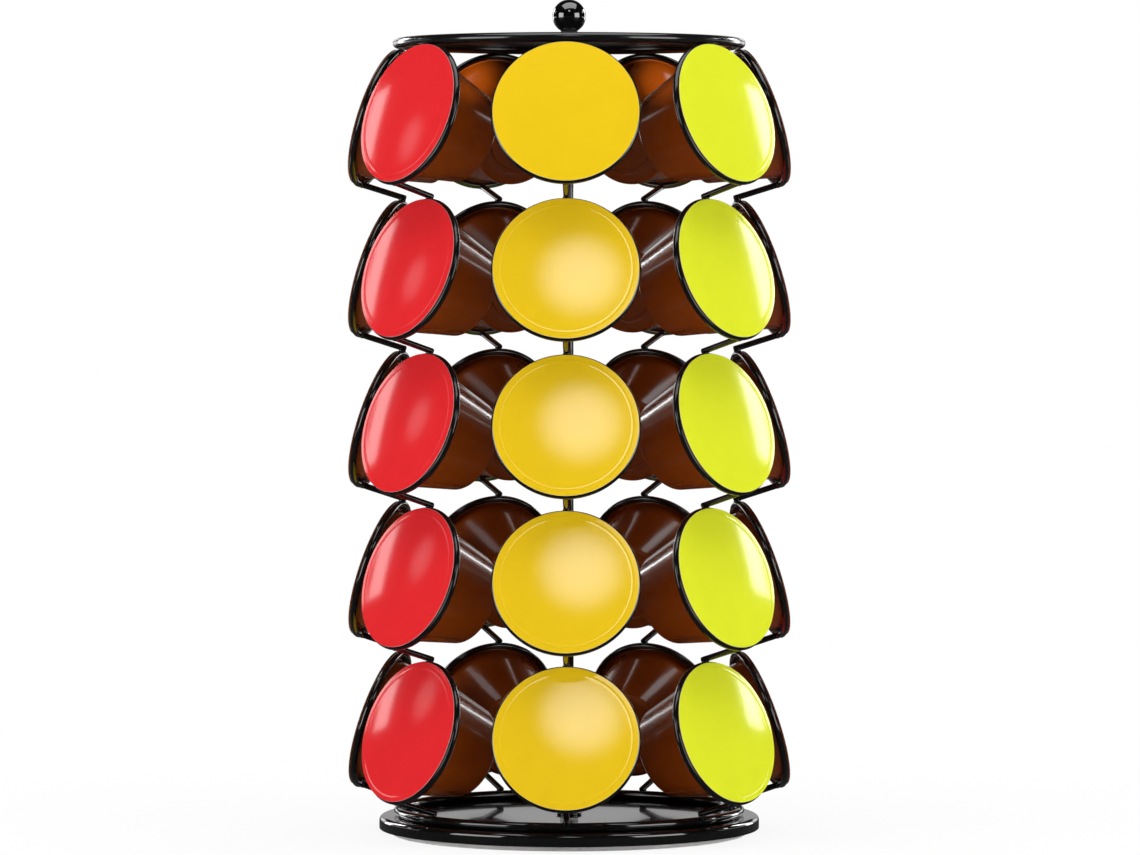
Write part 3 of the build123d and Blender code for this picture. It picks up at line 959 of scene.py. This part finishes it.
# %% [markdown]
# Each soft box is placed by what it does in the photograph. Two big ones in front show as windows in
# the knob, and one overhead lights its top. Far back on both sides, a low box and a tall edge box draw
# the bright ends of the disc, the rim and the knob, and a small strong one draws the streaks on the
# cups. A strip behind gives the wires their top lines, and low strips do the same for the base ring.
# Two slanted strips leave the pale patch near the outer edge of the red and lime lids. All sizes are
# angles seen from the object, because a reflection shows angles and not metres.

# %% Soft boxes
aim_point = Vector((0, 0, 0.16))


def soft_box(name, azimuth, elevation, wide, tall, brightness, distance=1.7, roll=0):
    """A rectangular lamp that looks wide by tall degrees large from the object."""
    away = toward(azimuth, elevation)
    lamp = bpy.data.lights.new(name, "AREA")
    lamp.shape = "RECTANGLE"
    lamp.size = 2 * distance * tan(radians(wide) / 2)
    lamp.size_y = 2 * distance * tan(radians(tall) / 2)
    lamp.energy = brightness * pi * lamp.size * lamp.size_y
    box = bpy.data.objects.new(name, lamp)
    bpy.context.scene.collection.objects.link(box)
    turn = away.to_track_quat("Z", "Y").to_matrix().to_4x4() @ Matrix.Rotation(radians(roll), 4, "Z")
    box.matrix_world = Matrix.Translation(aim_point + away * distance) @ turn


# Name, azimuth on the right side, elevation, width, height and brightness of each pair
paired_boxes = (
    ("front_box", 57, 7, 34, 32, 4.5),
    ("back_box", 153, 3, 20, 10, 0.9),
    ("edge_box", 141, 8, 12, 30, 4.0),
    ("streak_box", 139.5, 20.5, 7, 9, 11.0),
    ("low_strip", 120, 2, 38, 3, 2.0),
)
for name, azimuth, *look in paired_boxes:
    soft_box(f"{name}_left", -azimuth, *look)
    soft_box(f"{name}_right", azimuth, *look)
soft_box("top_box", 12, 80, 66, 46, 2.4)
soft_box("back_strip", 180, 15, 40, 8, 0.8)
soft_box("strip_left", -117.0, 17.3, 3.3, 10.5, 3.2, distance=6.0, roll=30)
soft_box("strip_right", 115.8, 18.4, 3.6, 10.5, 6.5, distance=6.0, roll=-30)
print("soft boxes", sum(lamp.type == "AREA" for lamp in bpy.data.lights))

# %% [markdown]
# On the top tier of the photograph the cups at the back glow orange. Two narrow spots, which a
# photographer would make with snoots, give that glow. They stand on the line of sight, which passes
# between the capsules in front. A brighter cup finish would glow from every side, and light linking
# keeps the spots to the cups, so that no lid shows a pool of light when the carousel turns.

# %% Spots for the rear cups
snoot_distance = 0.95
snoot_reach = 10.5 * mm
snoot_radius = 4 * mm
snoot_power = 95
pool_back, pool_level = 50.0 * mm, 289.5 * mm


def snoot(name, across):
    """A spot on the line of sight with a narrow soft cone, which lights a small pool and no more."""
    target = Vector((across, pool_back, pool_level))
    away = (eye - target).normalized()
    lamp = bpy.data.lights.new(name, "SPOT")
    lamp.spot_size = 2 * atan(snoot_reach / snoot_distance)
    lamp.spot_blend = 1.0
    lamp.shadow_soft_size = snoot_radius
    lamp.energy = snoot_power
    spot = bpy.data.objects.new(name, lamp)
    bpy.context.scene.collection.objects.link(spot)
    turn = away.to_track_quat("Z", "Y").to_matrix().to_4x4()
    spot.matrix_world = Matrix.Translation(target + away * snoot_distance) @ turn
    spot.visible_camera = False
    spot.visible_glossy = False
    spot.light_linking.receiver_collection = cups


snoot("snoot_left", -37.2 * mm)
snoot("snoot_right", 33.7 * mm)
